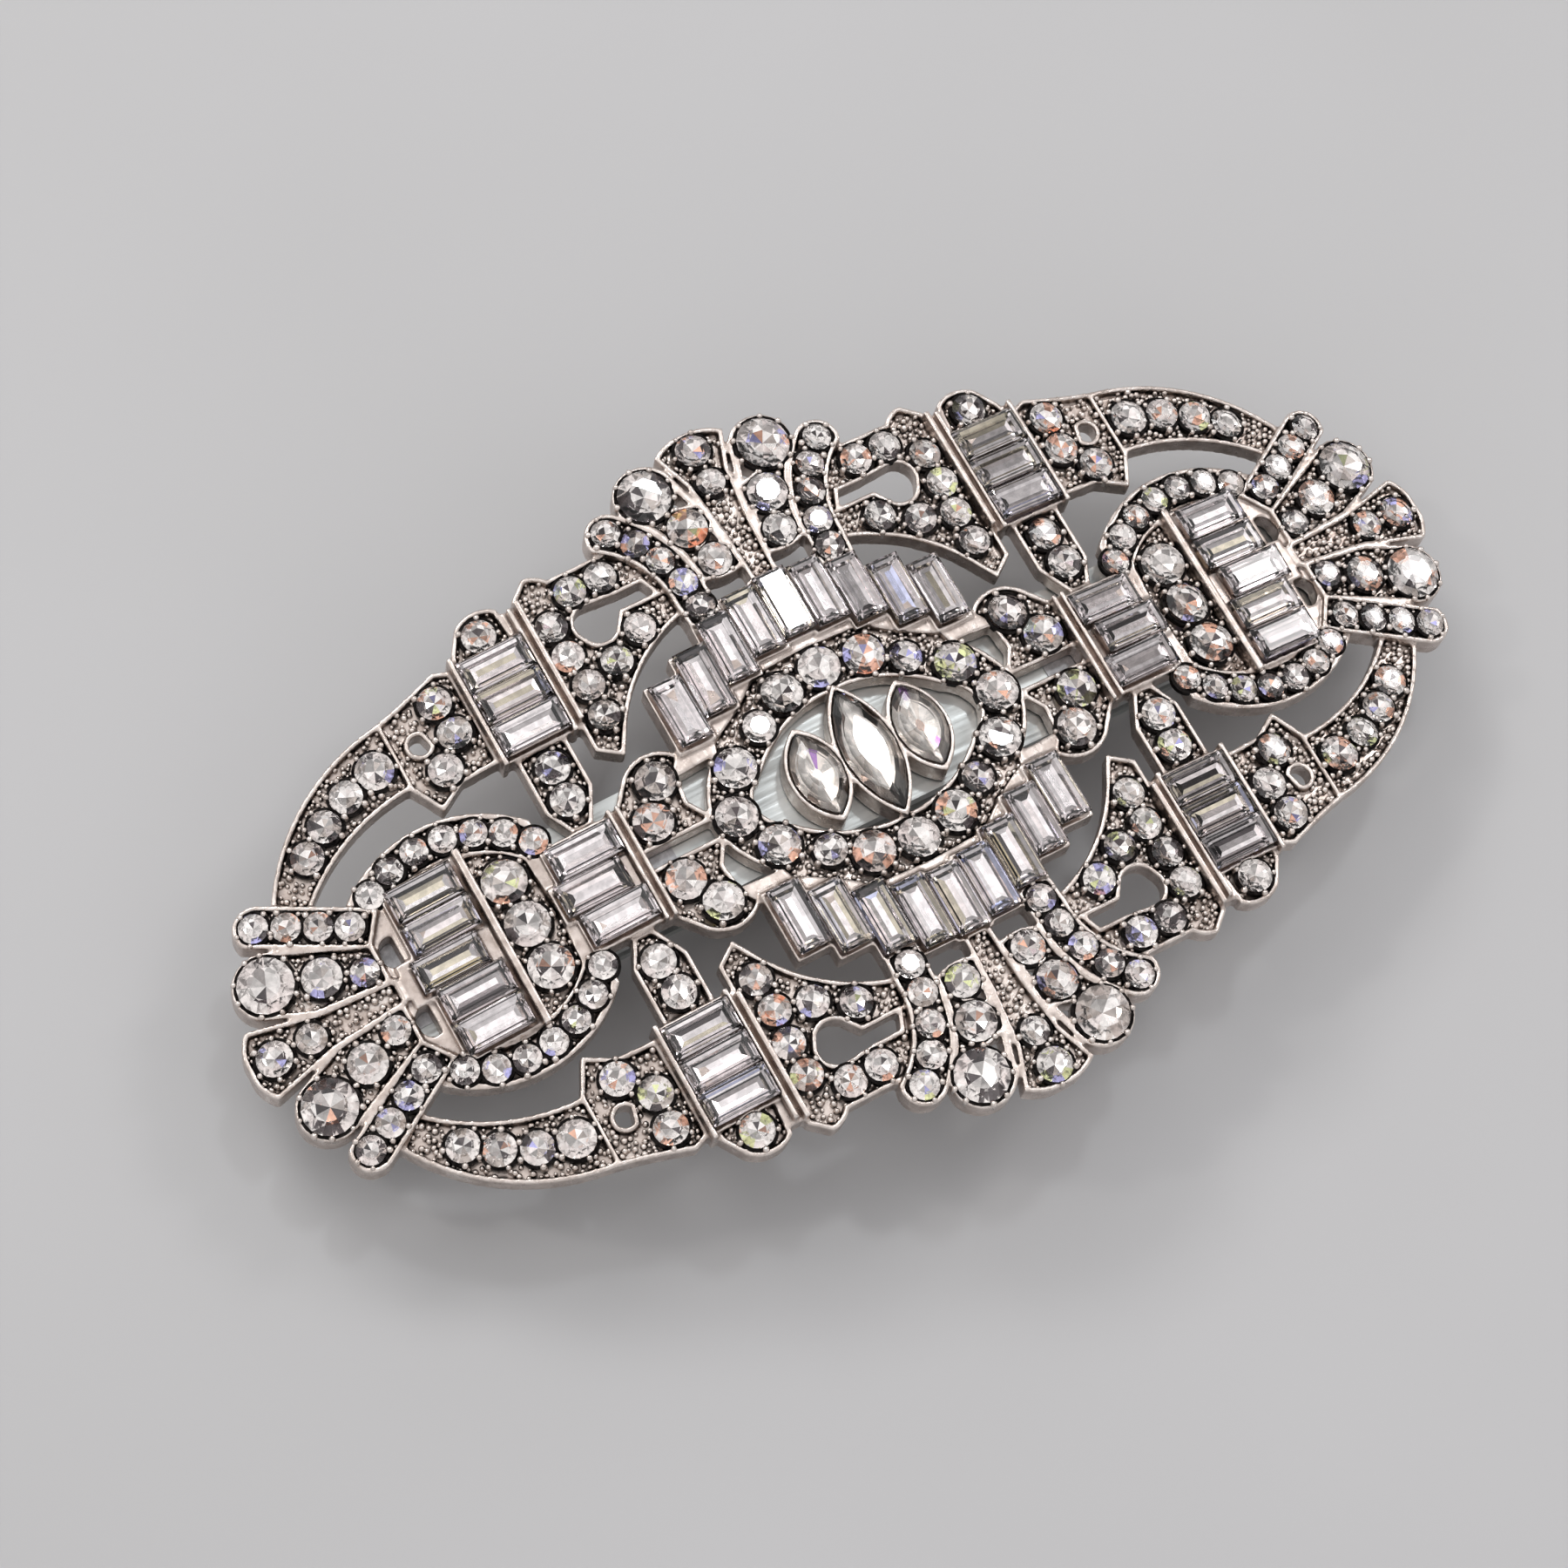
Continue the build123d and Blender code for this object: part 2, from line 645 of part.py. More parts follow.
with BuildPart() as closing_arm:
    plane, depth = clip_slab(CLIP_Y - ARM_WIDTH / 2, CLIP_Y + ARM_WIDTH / 2)
    with BuildSketch(plane):
        with BuildLine():
            Polyline(
                (HINGE_X + 0.9, HINGE_Z - 1.2),
                (HINGE_X + 2.6, 0),
                (33.0, 0),
                (34.8, ARM_CRANK),
                (ARM_END_X, ARM_CRANK),
                (ARM_END_X, ARM_CRANK + ARM_THICKNESS),
                (34.4, ARM_CRANK + ARM_THICKNESS),
                (32.6, ARM_THICKNESS),
                (HINGE_X + 3.2, ARM_THICKNESS),
                (HINGE_X + 1.2, HINGE_Z + 0.4),
                close=True,
            )
        make_face()
        with Locations((HINGE_X, HINGE_Z)):
            Circle(KNUCKLE_RADIUS)
    extrude(amount=depth)
    with Locations(Location((HINGE_X, CLIP_Y, HINGE_Z), (90, 0, 0))):
        Cylinder(PIN_RADIUS + PIN_PLAY, ARM_WIDTH + 1, mode=Mode.SUBTRACT)
    with Locations((CATCH_X, CLIP_Y, ARM_CRANK + ARM_THICKNESS / 2)):
        Box(CATCH_WIDTH + 1.2, 2 * (LEG_OFFSET + LEG_THICKNESS / 2 + 0.25), 3, mode=Mode.SUBTRACT)
    with Locations((-2.5, CLIP_Y, ARM_THICKNESS)):
        Box(56, ARM_WIDTH - 2.4, 0.5, mode=Mode.SUBTRACT)
    arm_corners = closing_arm.edges().filter_by(Axis.Z).group_by(Axis.X)[-1]
    fillet(arm_corners, radius=2.4)
save(closing_arm, "closing_arm")

BOW_RADIUS = (RIVET_X**2 + BOW_SAG**2) / (2 * BOW_SAG)
BOW_HALF = RIVET_X + 2.6
bow_top = dome_height(BOW_HALF, STRIP_BOTTOM_OFFSET) - BOW_TRAVEL - 0.15
with BuildPart() as tension_bow:
    plane, depth = clip_slab(CLIP_Y - BOW_WIDTH / 2, CLIP_Y + BOW_WIDTH / 2)
    with BuildSketch(plane):
        with BuildLine():
            bow_centre = bow_top - BOW_SAG + BOW_RADIUS
            swing = degrees(asin(RIVET_X / BOW_RADIUS)) * 0.93
            upper = CenterArc((0, bow_centre), BOW_RADIUS, 270 - swing, 2 * swing)
            lower = CenterArc((0, bow_centre), BOW_RADIUS + BOW_THICKNESS, 270 - swing, 2 * swing)
            Polyline(
                upper @ 0,
                (-BOW_HALF, (upper @ 0).Y),
                (-BOW_HALF, (upper @ 0).Y - BOW_THICKNESS),
                lower @ 0,
            )
            Polyline(
                upper @ 1,
                (BOW_HALF, (upper @ 1).Y),
                (BOW_HALF, (upper @ 1).Y - BOW_THICKNESS),
                lower @ 1,
            )
        make_face()
    extrude(amount=depth)
    with Locations(*[(side * RIVET_X, CLIP_Y, bow_top) for side in (-1, 1)]):
        Cylinder(RIVET_RADIUS + 0.15, 4, mode=Mode.SUBTRACT)
    fillet(tension_bow.edges().filter_by(Axis.Z).group_by(Axis.X)[-1], radius=1.8)
    fillet(tension_bow.edges().filter_by(Axis.Z).group_by(Axis.X)[0], radius=1.8)
save(tension_bow, "tension_bow")
bow_end_bottom = tension_bow.part.bounding_box().max.Z - BOW_THICKNESS

with BuildPart() as bow_rivets:
    for side in (-1, 1):
        head_bottom = bow_end_bottom - RIVET_HEAD_THICKNESS
        with Locations((side * RIVET_X, CLIP_Y, head_bottom)):
            Cylinder(RIVET_HEAD_RADIUS, RIVET_HEAD_THICKNESS, align=(Align.CENTER, Align.CENTER, Align.MIN))
            shank_top = dome_height(RIVET_X + RIVET_RADIUS, STRIP_TOP_OFFSET)
            Cylinder(RIVET_RADIUS, shank_top - head_bottom, align=(Align.CENTER, Align.CENTER, Align.MIN))
save(bow_rivets, "bow_rivets")

with BuildPart() as catch_base:
    block = slab(
        CATCH_X - CATCH_WIDTH / 2,
        CATCH_X + CATCH_WIDTH / 2,
        CLIP_Y - 3.4,
        CLIP_Y + 3.4,
        both_x=False,
        both_y=False,
    )
    add(on_dome(block, STRIP_BOTTOM_OFFSET - 2.0, STRIP_BOTTOM_OFFSET))
    with Locations((CATCH_X, CLIP_Y, CATCH_ROOT_Z - 4)):
        Box(20, 20, 8, mode=Mode.SUBTRACT)
save(catch_base, "catch_base")

BARB_TOP = ARM_CRANK - 0.12
for label, side in (("front_catch_leg", -1), ("rear_catch_leg", 1)):
    middle = CLIP_Y + side * LEG_OFFSET
    outer = middle + side * LEG_THICKNESS / 2
    inner = middle - side * LEG_THICKNESS / 2
    with BuildPart() as catch_leg:
        with BuildSketch(Plane.YZ.offset(CATCH_X - CATCH_WIDTH / 2)):
            with BuildLine():
                Polyline(
                    (outer, CATCH_PIVOT_Z),
                    (outer, 4.3),
                    (outer + side * 2.6, 3.7),
                    (outer + side * 2.6, 3.2),
                    (outer, 3.6),
                    (outer, BARB_TOP),
                    (outer + side * 0.45, BARB_TOP),
                    (outer, BARB_TOP - BARB_REACH),
                    (inner, BARB_TOP - BARB_REACH),
                    (inner, CATCH_PIVOT_Z),
                )
                root_top = (middle, CATCH_PIVOT_Z + LEG_THICKNESS / 2)
                ThreePointArc((inner, CATCH_PIVOT_Z), root_top, (outer, CATCH_PIVOT_Z))
            make_face()
        extrude(amount=CATCH_WIDTH)
    save(catch_leg, label)
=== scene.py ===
"""Looks of the rhinestone hair clip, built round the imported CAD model. Lengths are in metres."""

import math
import random

import bmesh
import bpy
from mathutils import Matrix, Vector
from mathutils.bvhtree import BVHTree
from mathutils.kdtree import KDTree


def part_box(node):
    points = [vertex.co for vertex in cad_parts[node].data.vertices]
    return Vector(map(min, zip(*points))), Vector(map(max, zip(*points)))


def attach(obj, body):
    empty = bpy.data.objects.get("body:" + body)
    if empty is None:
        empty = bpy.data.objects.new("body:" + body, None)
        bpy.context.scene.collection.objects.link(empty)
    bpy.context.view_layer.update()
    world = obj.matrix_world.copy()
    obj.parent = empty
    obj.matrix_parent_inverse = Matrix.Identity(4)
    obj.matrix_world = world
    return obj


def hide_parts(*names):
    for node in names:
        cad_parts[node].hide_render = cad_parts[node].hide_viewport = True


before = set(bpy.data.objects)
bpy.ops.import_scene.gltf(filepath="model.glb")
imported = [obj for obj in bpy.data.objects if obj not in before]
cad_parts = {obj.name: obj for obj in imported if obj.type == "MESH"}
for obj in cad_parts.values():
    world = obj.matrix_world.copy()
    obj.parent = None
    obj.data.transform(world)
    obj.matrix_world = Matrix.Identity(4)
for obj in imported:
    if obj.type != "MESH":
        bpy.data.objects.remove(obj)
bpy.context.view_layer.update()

MM = 0.001
DOME_RADIUS = 248 * MM  # the plate's bend, about an axis along Y
DOME_TOP = 13 * MM  # height of the plate's face at its middle
DOME_AXIS_Z = DOME_TOP - DOME_RADIUS
PLATE_BODY = "plate"
ROUND_NODES = [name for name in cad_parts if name.endswith("_stones")]
STEP_NODES = [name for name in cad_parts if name.endswith("_baguettes")]
NAVETTE_NODES = ["centre_navette", "side_navettes"]
rng = random.Random(7)


# ---- Geometry helpers ----


def dome_z(x):
    """Height of the plate's domed face."""
    return DOME_AXIS_Z + math.sqrt(DOME_RADIUS**2 - x**2)


def on_dome(centre, turn=0.0):
    """A frame whose Z is the dome's normal at a centre, turned about that normal."""
    lean = math.asin(centre.x / DOME_RADIUS)
    spin = Matrix.Rotation(lean, 4, "Y") @ Matrix.Rotation(turn, 4, "Z")
    return Matrix.Translation(centre) @ spin


def islands(node):
    """The vertices of each separate solid of a CAD node, as lists of points."""
    work = bmesh.new()
    work.from_mesh(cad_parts[node].data)
    bmesh.ops.remove_doubles(work, verts=work.verts, dist=1e-7)
    seen = set()
    found = []
    for start in work.verts:
        if start in seen:
            continue
        seen.add(start)
        queue = [start]
        points = []
        while queue:
            vert = queue.pop()
            points.append(vert.co.copy())
            for edge in vert.link_edges:
                other = edge.other_vert(vert)
                if other not in seen:
                    seen.add(other)
                    queue.append(other)
        found.append(points)
    work.free()
    return found


def middle_and_size(points):
    """The middle of some points' box, and its size."""
    low = Vector([min(p[i] for p in points) for i in range(3)])
    high = Vector([max(p[i] for p in points) for i in range(3)])
    return (low + high) / 2, high - low


def new_piece(name, work, materials, smooth=False):
    """A mesh object from a bmesh, riding on the plate."""
    mesh = bpy.data.meshes.new(name)
    bmesh.ops.recalc_face_normals(work, faces=work.faces)
    work.to_mesh(mesh)
    work.free()
    for material in materials:
        mesh.materials.append(material)
    mesh.polygons.foreach_set("use_smooth", [smooth] * len(mesh.polygons))
    piece = bpy.data.objects.new(name, mesh)
    bpy.context.scene.collection.objects.link(piece)
    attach(piece, PLATE_BODY)
    return piece


# ---- Materials ----

# Sockets of a colour Mix node.
MIX_FACTOR = 0
MIX_A = 6
MIX_B = 7
MIX_RESULT = 2


class Nodes:
    """A small helper to lay out a node material."""

    def __init__(self, name):
        self.material = bpy.data.materials.new(name)
        self.material.use_nodes = True
        self.tree = self.material.node_tree
        self.tree.nodes.clear()
        self.output = self.tree.nodes.new("ShaderNodeOutputMaterial")
        self.shader = self.tree.nodes.new("ShaderNodeBsdfPrincipled")
        self.link(self.shader.outputs[0], self.output.inputs[0])

    def link(self, out, into):
        self.tree.links.new(out, into)

    def colour(self, out):
        self.link(out, self.shader.inputs["Base Color"])

    def node(self, kind, **values):
        """A node with some sockets or settings given by name."""
        made = self.tree.nodes.new(kind)
        for key, value in values.items():
            if key in made.inputs:
                made.inputs[key].default_value = value
            else:
                setattr(made, key, value)
        return made

    def set(self, **values):
        """Uniform values on the shader's own sockets."""
        for key, value in values.items():
            self.shader.inputs[key.replace("_", " ")].default_value = value

    def ramp(self, source, stops):
        """A colour ramp with stops of (place, colour)."""
        made = self.tree.nodes.new("ShaderNodeValToRGB")
        elements = made.color_ramp.elements
        while len(elements) < len(stops):
            elements.new(0.5)
        for element, (place, colour) in zip(elements, stops):
            element.position = place
            element.color = (*colour, 1)
        self.link(source, made.inputs[0])
        return made.outputs[0]

    def noise(self, scale, detail=3.0, roughness=0.5):
        """Noise in object coordinates. The scale is in patches a metre."""
        place = self.node("ShaderNodeTexCoord")
        made = self.node("ShaderNodeTexNoise", Scale=scale, Detail=detail, Roughness=roughness)
        self.link(place.outputs["Object"], made.inputs["Vector"])
        return made.outputs["Fac"]

    def multiply(self, one, other):
        """The product of two colours."""
        made = self.tree.nodes.new("ShaderNodeMix")
        made.data_type = "RGBA"
        made.blend_type = "MULTIPLY"
        made.inputs[MIX_FACTOR].default_value = 1.0
        self.link(one, made.inputs[MIX_A])
        self.link(other, made.inputs[MIX_B])
        return made.outputs[MIX_RESULT]

    def bump(self, height, strength, distance):
        made = self.node("ShaderNodeBump", Strength=strength, Distance=distance)
        self.link(height, made.inputs["Height"])
        self.link(made.outputs[0], self.shader.inputs["Normal"])


def grey(value):
    """A neutral colour."""
    return (value, value, value)


RECESS_REACH = 0.3 * MM
RECESS_STOPS = [
    (0.27, (0.006, 0.005, 0.005)),
    (0.4, (0.26, 0.235, 0.22)),
    (0.66, (0.86, 0.81, 0.78)),
]
TARNISH_STOPS = [(0.35, (0.66, 0.615, 0.585)), (0.65, (1.0, 0.975, 0.955))]
# Bright on convex edges and dark in concave creases: partly wear, partly painted highlight and
# painted shade.
RUB_AND_PAINTED_LIGHT_STOPS = [(0.43, (0.12, 0.1, 0.1)), (0.5, (0.8, 0.76, 0.74)), (0.56, (1, 1, 1))]


def antique_silver():
    """Plated casting, oxidised dark in the recesses; bright on the ridges, partly worn and partly
    a painted highlight, with painted shade in the creases.
    """
    m = Nodes("antique_silver")
    m.set(Metallic=1.0)
    recess = m.node("ShaderNodeAmbientOcclusion", samples=6, Distance=RECESS_REACH)
    shade = m.ramp(recess.outputs["AO"], RECESS_STOPS)
    tarnish = m.ramp(m.noise(900, 4, 0.6), TARNISH_STOPS)
    edges = m.node("ShaderNodeNewGeometry")
    # Edge brightening is partly wear and partly painted highlight; crease darkening is painted
    # shade.
    rub_and_painted_light = m.ramp(edges.outputs["Pointiness"], RUB_AND_PAINTED_LIGHT_STOPS)
    metal = m.multiply(shade, tarnish)
    m.colour(m.multiply(metal, rub_and_painted_light))
    wear = m.ramp(m.noise(1500, 3, 0.6), [(0.3, grey(0.22)), (0.7, grey(0.4))])
    m.link(wear, m.shader.inputs["Roughness"])
    m.bump(m.noise(3200, 2, 0.6), 0.35, 0.03 * MM)
    return m.material


LINES_ALONG = 40  # the fine lines' scale along a strip, far below the scale across it


def plated_steel(name, colour, rough, lines_across):
    """Nickel-plated stamped strip, with fine lines along its length."""
    m = Nodes(name)
    m.set(Metallic=1.0)
    place = m.node("ShaderNodeTexCoord")
    stretch = m.node("ShaderNodeMapping", Scale=(LINES_ALONG, lines_across, lines_across))
    m.link(place.outputs["Object"], stretch.inputs["Vector"])
    lines = m.node("ShaderNodeTexNoise", Scale=1.0, Detail=4.0, Roughness=0.6)
    m.link(stretch.outputs[0], lines.inputs["Vector"])
    dark = tuple(c * 0.8 for c in colour)
    m.colour(m.ramp(m.noise(260, 3, 0.6), [(0.35, dark), (0.65, colour)]))
    spread = m.ramp(lines.outputs["Fac"], [(0.3, grey(rough * 0.7)), (0.7, grey(rough * 1.5))])
    m.link(spread, m.shader.inputs["Roughness"])
    m.bump(lines.outputs["Fac"], 0.25, 0.02 * MM)
    return m.material


def solder():
    """Dull grey soft solder."""
    m = Nodes("solder_joint")
    m.set(Metallic=1.0, Roughness=0.5)
    grain = [(0.3, (0.3, 0.3, 0.31)), (0.7, (0.55, 0.55, 0.57))]
    m.colour(m.ramp(m.noise(1800, 4, 0.7), grain))
    m.bump(m.noise(1200, 3, 0.6), 0.5, 0.06 * MM)
    return m.material


def cut_glass(name, tint):
    """Clear crystal."""
    m = Nodes(name)
    m.set(Base_Color=(*tint, 1), Roughness=0.0, IOR=1.58, Transmission_Weight=1.0)
    return m.material


def foil(name, colour, rough=0.08):
    """The mirror foil behind one facet of a stone, a little uneven."""
    m = Nodes(name)
    m.set(Metallic=1.0, Roughness=rough)
    dim = tuple(0.8 * c for c in colour)
    m.colour(m.ramp(m.noise(1400, 2, 0.5), [(0.4, dim), (0.6, colour)]))
    return m.material


def painted_shade_seat():
    """Metal deep in a seat, round a stone, painted near-black as the shade there."""
    m = Nodes("painted_shade_seat")
    m.set(Metallic=1.0, Roughness=0.55)
    # Near-black tones: painted shade round the stone.
    shade_tones = [(0.35, (0.003, 0.0025, 0.0025)), (0.7, (0.022, 0.019, 0.018))]
    m.colour(m.ramp(m.noise(2400, 3, 0.6), shade_tones))
    m.bump(m.noise(3000, 2, 0.6), 0.3, 0.02 * MM)
    return m.material


SILVER = antique_silver()
STEEL = plated_steel("nickel_plate", (0.62, 0.64, 0.63), 0.42, 2600)
SPRING = plated_steel("spring_plate", (0.66, 0.66, 0.68), 0.26, 3400)
SOLDER = solder()
SEAT_SHADE = painted_shade_seat()
CRYSTAL = cut_glass("clear_crystal", (1.0, 0.975, 0.955))
STEP_CRYSTAL = cut_glass("step_crystal", (1.0, 0.97, 0.965))
NAVETTE_CRYSTAL = cut_glass("navette_crystal", (1.0, 0.975, 0.95))

# Each cut's foils, how often each falls on a back facet, and the one that always edges the girdle.
# The foils' colours are painted reflection: the dark ones paint dark reflections and shade, the
# red, blue, green, warm and violet ones paint the fire of cut glass, and the baguettes' and
# navettes' edge foil paints the shadow between stone and setting.
# A stone's materials are its glass and then its foils.
GLASS = 0
FOILS = [
    foil("foil_white", (1.0, 0.98, 0.97)),
    foil("foil_pale", (0.92, 0.87, 0.86)),
    foil("foil_grey", (0.6, 0.55, 0.52)),
    foil("foil_painted_dark_reflection", (0.1, 0.085, 0.09)),
    foil("foil_painted_fire_red", (0.95, 0.56, 0.42)),
    foil("foil_painted_fire_blue", (0.55, 0.55, 0.97)),
    foil("foil_painted_fire_green", (0.85, 0.92, 0.5)),
]
FOIL_SHARES = (54, 21, 8, 9, 4, 2.5, 1.5)
GIRDLE_FOIL = 2
# The warm and blue step foils paint fire; the dark one paints shade.
STEP_FOILS = [
    foil("step_white", (0.97, 0.94, 0.95)),
    foil("step_lilac", (0.87, 0.82, 0.82)),
    foil("step_painted_fire_warm", (0.72, 0.67, 0.54)),
    foil("step_painted_fire_blue", (0.68, 0.72, 0.95)),
    foil("step_painted_shade", (0.08, 0.072, 0.075)),
]
STEP_SHARES = (62, 20, 9, 3, 6)
# This edge foil is dark: a painted shadow outline between the stone and its setting, also used for
# dark facets.
STEP_SHADE_OUTLINE_FOIL = 5
# The violet navette foil paints fire; the brown one paints shade.
NAVETTE_FOILS = [
    foil("navette_white", (1.0, 0.97, 0.94), 0.22),
    foil("navette_cream", (0.92, 0.86, 0.81), 0.22),
    foil("navette_painted_shade", (0.2, 0.15, 0.13)),
    foil("navette_painted_fire_violet", (0.45, 0.25, 0.6)),
]
NAVETTE_SHARES = (58, 30, 8, 4)
# This edge foil is dark: a painted shadow outline between the stone and its setting, also used for
# dark facets.
NAVETTE_SHADE_OUTLINE_FOIL = 3


# ---- Stones ----

# Proportions of a chaton, as shares of its radius. Heights are from the girdle's middle.
TABLE_RADIUS = 0.6
TABLE_HEIGHT = 0.33
GIRDLE_HALF = 0.03
KEEL_RADIUS = 0.52
KEEL_DROP = 0.2
POINT_DROP = 0.32
CHATON_TOP = 0.34  # a CAD stone's top above its girdle

# A baguette's crown edges: inset and height in mm.
STEP_CROWN = ((0.4, 0.5), (0.2, 0.36), (0.01, 0.08), (0.0, -0.02))
# Its back edges: inset as a share of the half width, and fall as a share of the depth.
STEP_BACK = ((0.07, 0.22), (0.18, 0.42), (0.38, 0.56), (0.58, 0.86), (0.82, 0.95))
STEP_TOP = 0.5 * MM

# A navette's edges: size as a share of the outline, and height as a share of the half width.
NAVETTE_LEVELS = (
    (0.5, 0.42),
    (0.78, 0.3),
    (1.0, 0.06),
    (1.0, 0.0),
    (0.93, -0.09),
    (0.62, -0.3),
    (0.16, -0.42),
)
NAVETTE_TOP = 0.95 * MM
CLEAR_WALLS = 3  # the walls of a crown and its girdle, in the stones made of rings


def ring(work, place, radius, height, count, offset=0.0):
    """A ring of vertices about a stone's axis."""
    verts = []
    for n in range(count):
        angle = math.tau * (n + offset) / count
        local = Vector((radius * math.cos(angle), radius * math.sin(angle), height))
        verts.append(work.verts.new(place @ local))
    return verts


def face(work, verts, index):
    """A face of one of a stone's materials."""
    made = work.faces.new(verts)
    made.material_index = index


def any_foil(shares):
    """The material index of a foil, drawn by the share each has."""
    return 1 + rng.choices(range(len(shares)), shares)[0]


def chaton(work, place, radius):
    """A chaton cut: table, three crown facets an eighth, foiled girdle and back."""
    table = ring(work, place, TABLE_RADIUS * radius, TABLE_HEIGHT * radius, 8, 0.5)
    top = ring(work, place, radius, GIRDLE_HALF * radius, 16)
    low = ring(work, place, radius, -GIRDLE_HALF * radius, 16)
    keel = ring(work, place, KEEL_RADIUS * radius, -KEEL_DROP * radius, 8)
    point = work.verts.new(place @ Vector((0, 0, -POINT_DROP * radius)))
    face(work, table, GLASS)
    for n in range(8):
        first = 2 * n
        second = first + 1
        third = (first + 2) % 16
        following = (n + 1) % 8
        face(work, [table[(n - 1) % 8], top[first], table[n]], GLASS)
        face(work, [table[n], top[first], top[second]], GLASS)
        face(work, [table[n], top[second], top[third]], GLASS)
        face(work, [keel[n], keel[following], point], any_foil(FOIL_SHARES))
        outer = any_foil(FOIL_SHARES)
        face(work, [low[first], low[second], keel[n]], outer)
        face(work, [low[second], low[third], keel[following]], outer)
        face(work, [low[second], keel[following], keel[n]], outer)
    for n in range(16):
        following = (n + 1) % 16
        face(work, [top[n], low[n], low[following], top[following]], GIRDLE_FOIL)


def walls(work, rings, shade_outline_foil, shares):
    """A stone between rings of vertices: clear crown, one wall of edge foil, foiled back. The edge
    foil is dark, a painted shadow between the stone and its setting.
    """
    face(work, rings[0], GLASS)
    for wall, (upper, lower) in enumerate(zip(rings, rings[1:])):
        count = len(upper)
        for n in range(count):
            following = (n + 1) % count
            if wall < CLEAR_WALLS:
                index = GLASS
            elif wall == CLEAR_WALLS:
                index = shade_outline_foil
            else:
                index = any_foil(shares)
            face(work, [upper[n], lower[n], lower[following], upper[following]], index)
    face(work, list(reversed(rings[-1])), any_foil(shares))


def rectangle(work, place, half_length, half_width, height):
    """A ring of four vertices."""
    verts = []
    for a, b in ((1, 1), (-1, 1), (-1, -1), (1, -1)):
        verts.append(work.verts.new(place @ Vector((a * half_length, b * half_width, height))))
    return verts


def step_cut(work, place, half_length, half_width, depth):
    """A baguette: table, two crown steps all round, girdle and five back steps."""
    levels = [(inset * MM, height * MM) for inset, height in STEP_CROWN]
    levels += [(share * half_width, -fall * depth) for share, fall in STEP_BACK]
    rings = [
        rectangle(work, place, half_length - inset, half_width - inset, height)
        for inset, height in levels
    ]
    walls(work, rings, STEP_SHADE_OUTLINE_FOIL, STEP_SHARES)


def navette_ring(work, place, half_width, half_length, height, count=8):
    """A ring of vertices round a pointed oval, its points along Y."""
    bow = (half_length**2 + half_width**2) / (2 * half_width)
    verts = []
    for side in (1, -1):
        for n in range(count):
            along = -side * half_length * math.cos(math.pi * n / count)
            across = side * (math.sqrt(bow**2 - along**2) - bow + half_width)
            verts.append(work.verts.new(place @ Vector((across, along, height))))
    return verts


def navette(work, place, half_width, half_length):
    """A navette: table, two rows of crown facets, girdle and a faceted back."""
    rings = [
        navette_ring(work, place, share * half_width, share * half_length, height * half_width)
        for share, height in NAVETTE_LEVELS
    ]
    walls(work, rings, NAVETTE_SHADE_OUTLINE_FOIL, NAVETTE_SHARES)


def girdle_centre(points, above):
    """The middle of a stone's girdle, the stone's size, and its depth below the girdle.

    The girdle lies a given distance below the stone's top, along the dome's normal.
    """
    middle, size = middle_and_size(points)
    lean = math.asin(middle.x / DOME_RADIUS)
    heights = [p.z * math.cos(lean) + p.x * math.sin(lean) for p in points]
    level = max(heights) - above
    z = (level - middle.x * math.sin(lean)) / math.cos(lean)
    return Vector((middle.x, middle.y, z)), size, level - min(heights)


def set_askew(about_x, about_y):
    """A small random tilt, as of a stone set by hand. Spreads are in radians."""
    tip = Matrix.Rotation(rng.gauss(0, about_x), 4, "X")
    return tip @ Matrix.Rotation(rng.gauss(0, about_y), 4, "Y")


stone_circles = []  # (centre, radius) of every round stone, for the metalwork round them
for node in ROUND_NODES:
    stones = bmesh.new()
    for points in islands(node):
        _, size = middle_and_size(points)
        radius = size.y / 2
        centre, _, _ = girdle_centre(points, CHATON_TOP * radius)
        turn = rng.uniform(0, math.tau)
        chaton(stones, on_dome(centre, turn) @ set_askew(0.05, 0.05), radius)
        stone_circles.append((centre, radius))
    name = node.replace("_stones", "_chatons")
    piece = new_piece(name, stones, [CRYSTAL, *FOILS])
    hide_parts(node)

for node in STEP_NODES:
    stones = bmesh.new()
    for points in islands(node):
        centre, size, depth = girdle_centre(points, STEP_TOP)
        turn = math.pi / 2 if size.y > size.x else 0.0
        half_length = max(size.x, size.y) / 2
        half_width = min(size.x, size.y) / 2
        place = on_dome(centre, turn) @ set_askew(0.03, 0.02)
        step_cut(stones, place, half_length, half_width, depth)
    name = node.replace("_baguettes", "_step_cuts")
    piece = new_piece(name, stones, [STEP_CRYSTAL, *STEP_FOILS])
    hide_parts(node)

for node in NAVETTE_NODES:
    stones = bmesh.new()
    for points in islands(node):
        centre, size, _ = girdle_centre(points, NAVETTE_TOP)
        navette(stones, on_dome(centre), size.x / 2, size.y / 2)
    piece = new_piece(node + "_cut", stones, [NAVETTE_CRYSTAL, *NAVETTE_FOILS])
    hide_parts(node)


# ---- The casting ----

